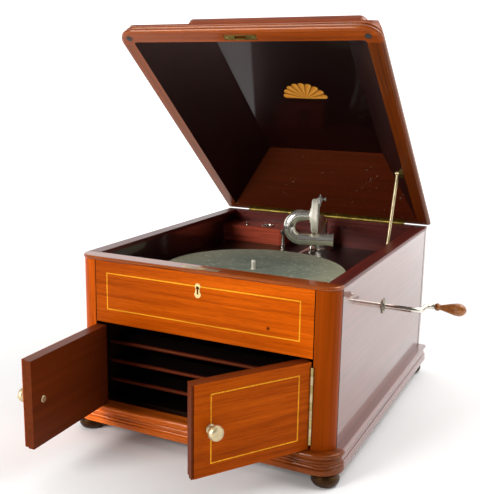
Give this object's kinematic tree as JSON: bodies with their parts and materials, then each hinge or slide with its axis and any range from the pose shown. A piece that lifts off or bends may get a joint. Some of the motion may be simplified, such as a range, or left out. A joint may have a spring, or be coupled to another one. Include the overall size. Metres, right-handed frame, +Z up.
{
  "type": "tabletop gramophone",
  "caption": "Hornless table gramophone: a square wooden case with a hollow hinged lid, felt turntable, gooseneck sound arm, side crank and double doors over a slatted horn mouth.",
  "frame": {"origin": "on the spindle axis at the felt's upper face, where a record lies", "axes": "+Z up along the spindle, +X to the crank side, -Y to the doors"},
  "size_m": [0.5512, 0.7175, 0.6489],
  "materials": {
    "arm_base": "nickel plate",
    "back_panel": "plain stained wood",
    "base_board": "plain stained wood",
    "board_bearers": "plain stained wood",
    "brake_lever": "nickel plate",
    "catch_bullets": "polished brass",
    "corner_posts": "polished mahogany",
    "crank_handle": "turned polished wood",
    "crank_rod": "nickel plate",
    "diaphragm": "mica plate",
    "door_case_brass": "polished brass",
    "door_left": "polished mahogany",
    "door_left_brass": "polished brass",
    "door_left_inlay": "boxwood inlay",
    "door_right": "polished mahogany",
    "door_right_brass": "polished brass",
    "door_right_inlay": "boxwood inlay",
    "escutcheons": "polished brass",
    "feet": "plain stained wood",
    "front_inlay": "boxwood inlay",
    "front_panel": "polished mahogany",
    "gooseneck": "nickel plate",
    "governor": "bare steel",
    "horn_boards": "plain stained wood",
    "horn_elbow": "painted or cast metal",
    "lid_bumpers": "black rubber",
    "lid_case_brass": "polished brass",
    "lid_fittings": "polished brass",
    "lid_frame_front": "polished mahogany",
    "lid_frame_sides_and_back": "polished mahogany",
    "lid_motif": "boxwood inlay",
    "lid_slope_back": "polished dark mahogany",
    "lid_slope_front": "polished dark mahogany",
    "lid_slope_left": "polished dark mahogany",
    "lid_slope_right": "polished dark mahogany",
    "lid_stay": "polished brass",
    "lid_top": "polished mahogany",
    "lock_bolt": "bare steel",
    "lock_case": "polished brass",
    "louvre_slats": "polished dark mahogany",
    "mainspring": "bare steel",
    "motor_board": "polished dark mahogany",
    "motor_plates": "painted or cast metal",
    "mouth_lining": "polished dark mahogany",
    "needle_block": "polished mahogany",
    "needle_cup": "nickel plate",
    "platter": "painted or cast metal",
    "platter_felt": "wool felt",
    "plinth_front": "polished mahogany",
    "plinth_sides": "polished mahogany",
    "rim_front": "polished mahogany",
    "rim_sides_and_back": "polished mahogany",
    "side_panels": "polished mahogany",
    "sound_arm": "nickel plate",
    "soundbox_shell": "nickel plate",
    "speed_knob": "nickel plate",
    "spindle": "nickel plate",
    "spring_barrel": "bare steel",
    "stylus_bar": "nickel plate",
    "winding_arbor": "bare steel"
  },
  "bodies": {
    "case": {"arm_base": "arm_base", "back_panel": "back_panel", "base_board": "base_board", "board_bearers": "board_bearers", "corner_posts": "corner_posts", "door_case_brass": "door_case_brass", "escutcheons": "escutcheons", "feet": "feet", "front_inlay": "front_inlay", "front_panel": "front_panel", "horn_boards": "horn_boards", "horn_elbow": "horn_elbow", "lid_case_brass": "lid_case_brass", "lock_case": "lock_case", "louvre_slats": "louvre_slats", "motor_board": "motor_board", "motor_plates": "motor_plates", "mouth_lining": "mouth_lining", "needle_block": "needle_block", "needle_cup": "needle_cup", "plinth_front": "plinth_front", "plinth_sides": "plinth_sides", "rim_front": "rim_front", "rim_sides_and_back": "rim_sides_and_back", "side_panels": "side_panels"},
    "lid": {"lid_bumpers": "lid_bumpers", "lid_fittings": "lid_fittings", "lid_frame_front": "lid_frame_front", "lid_frame_sides_and_back": "lid_frame_sides_and_back", "lid_motif": "lid_motif", "lid_slope_back": "lid_slope_back", "lid_slope_front": "lid_slope_front", "lid_slope_left": "lid_slope_left", "lid_slope_right": "lid_slope_right", "lid_top": "lid_top"},
    "lid_stay": {"lid_stay": "lid_stay"},
    "door_left": {"door_left": "door_left", "door_left_inlay": "door_left_inlay", "door_left_brass": "door_left_brass"},
    "door_right": {"door_right": "door_right", "door_right_inlay": "door_right_inlay", "door_right_brass": "door_right_brass"},
    "turntable": {"platter": "platter", "platter_felt": "platter_felt", "spindle": "spindle"},
    "barrel": {"spring_barrel": "spring_barrel", "mainspring": "mainspring"},
    "arbor": {"winding_arbor": "winding_arbor"},
    "governor": {"governor": "governor"},
    "crank": {"crank_rod": "crank_rod"},
    "handle": {"crank_handle": "crank_handle"},
    "arm": {"sound_arm": "sound_arm"},
    "neck": {"gooseneck": "gooseneck", "soundbox_shell": "soundbox_shell", "diaphragm": "diaphragm", "stylus_bar": "stylus_bar"},
    "bolt": {"lock_bolt": "lock_bolt"},
    "knob": {"speed_knob": "speed_knob"},
    "brake": {"brake_lever": "brake_lever"},
    "catches": {"catch_bullets": "catch_bullets"}
  },
  "joints": [
    {"name": "lid_hinge", "type": "hinge", "parent": "case", "child": "lid", "pos_m": [0, 0.332, 0.0388], "axis": [1, 0, 0], "range_deg": [0, 39.5]},
    {"name": "stay_pivot", "type": "hinge", "parent": "lid", "child": "lid_stay", "pos_m": [0.176, 0.2145, 0.1475], "axis": [1, 0, 0], "range_deg": [-26, 0.5]},
    {"name": "door_left_hinge", "type": "hinge", "parent": "case", "child": "door_left", "pos_m": [-0.1781, -0.1889, -0.1305], "axis": [0, 0, 1], "range_deg": [-31.5, 88.5]},
    {"name": "door_right_hinge", "type": "hinge", "parent": "case", "child": "door_right", "pos_m": [0.1781, -0.1889, -0.1305], "axis": [0, 0, 1], "range_deg": [-56, 64]},
    {"name": "turntable_spin", "type": "hinge", "parent": "case", "child": "turntable", "pos_m": [0, 0, 0], "axis": [0, 0, 1], "continuous": true},
    {"name": "barrel_spin", "type": "hinge", "parent": "case", "child": "barrel", "pos_m": [0.06202, 0.0435, -0.0705], "axis": [0, 0, 1], "continuous": true},
    {"name": "governor_spin", "type": "hinge", "parent": "case", "child": "governor", "pos_m": [0, -0.0208, -0.0645], "axis": [1, 0, 0], "continuous": true},
    {"name": "crank_turn", "type": "hinge", "parent": "case", "child": "crank", "pos_m": [0.209, 0.0435, -0.0445], "axis": [1, 0, 0], "continuous": true},
    {"name": "handle_spin", "type": "hinge", "parent": "crank", "child": "handle", "pos_m": [0.29, 0.09919, -0.05035], "axis": [1, 0, 0], "continuous": true},
    {"name": "arbor_turn", "type": "hinge", "parent": "case", "child": "arbor", "pos_m": [0.06202, 0.0435, -0.0705], "axis": [0, 0, 1], "continuous": true},
    {"name": "arm_swing", "type": "hinge", "parent": "case", "child": "arm", "pos_m": [0.0175, 0.2775, 0.0435], "axis": [0, 0, 1], "range_deg": [-27, 15]},
    {"name": "neck_flip", "type": "hinge", "parent": "arm", "child": "neck", "pos_m": [0.08, 0.08048, 0.0435], "axis": [0.9532, 0.3024, 0], "range_deg": [0, 107]},
    {"name": "bolt_slide", "type": "slide", "parent": "case", "child": "bolt", "axis": [0, 0, 1], "range_m": [0, 0.007]},
    {"name": "speed_turn", "type": "hinge", "parent": "case", "child": "knob", "pos_m": [-0.058, 0.2625, -0.0155], "axis": [0, 0, 1], "range_deg": [-150, 150]},
    {"name": "brake_swing", "type": "hinge", "parent": "case", "child": "brake", "pos_m": [0.0084, 0.2445, -0.0155], "axis": [0, 0, 1], "range_deg": [0, 30]},
    {"name": "catch_press", "type": "slide", "parent": "case", "child": "catches", "axis": [0, 0, -1], "range_m": [0, 0.001], "stiffness_N_per_m": 300}
  ],
  "couplings": [
    {"joint": "stay_pivot", "follows": "lid_hinge", "ratio": -0.648},
    {"joint": "barrel_spin", "follows": "turntable_spin", "ratio": -0.20238},
    {"joint": "governor_spin", "follows": "turntable_spin", "ratio": 6},
    {"joint": "arbor_turn", "follows": "crank_turn", "ratio": 0.5}
  ]
}
